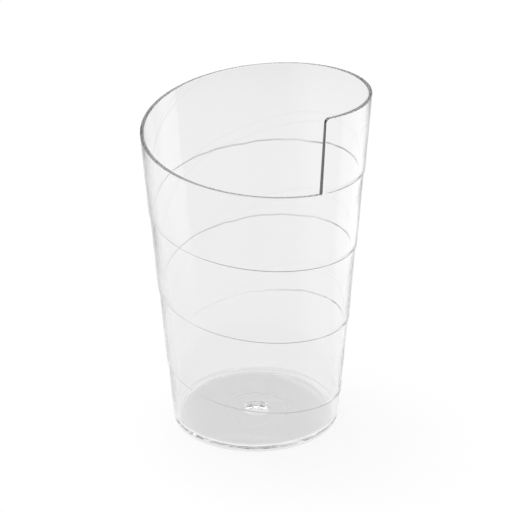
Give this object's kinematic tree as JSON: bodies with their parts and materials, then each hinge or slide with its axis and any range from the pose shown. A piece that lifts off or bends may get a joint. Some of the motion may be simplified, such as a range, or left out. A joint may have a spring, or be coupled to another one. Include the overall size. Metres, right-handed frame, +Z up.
{
  "type": "plastic shot glass",
  "caption": "Clear tapered plastic shot glass whose rim winds round as a spiral, drops in one upright step and runs on down the outside as a fine ledge.",
  "frame": {"origin": "on the cup's axis at the level of the table it stands on", "axes": "+Z up along the cup's axis; -Y is the front; the step in the rim stands 36 degrees from the front towards +X"},
  "size_m": [0.0487, 0.0479, 0.079],
  "materials": {
    "clear_plastic": "crystal-clear injection-moulded polystyrene, polished, with faint flow waves"
  },
  "bodies": {
    "root": {"shot_glass": "clear_plastic"}
  },
  "joints": []
}
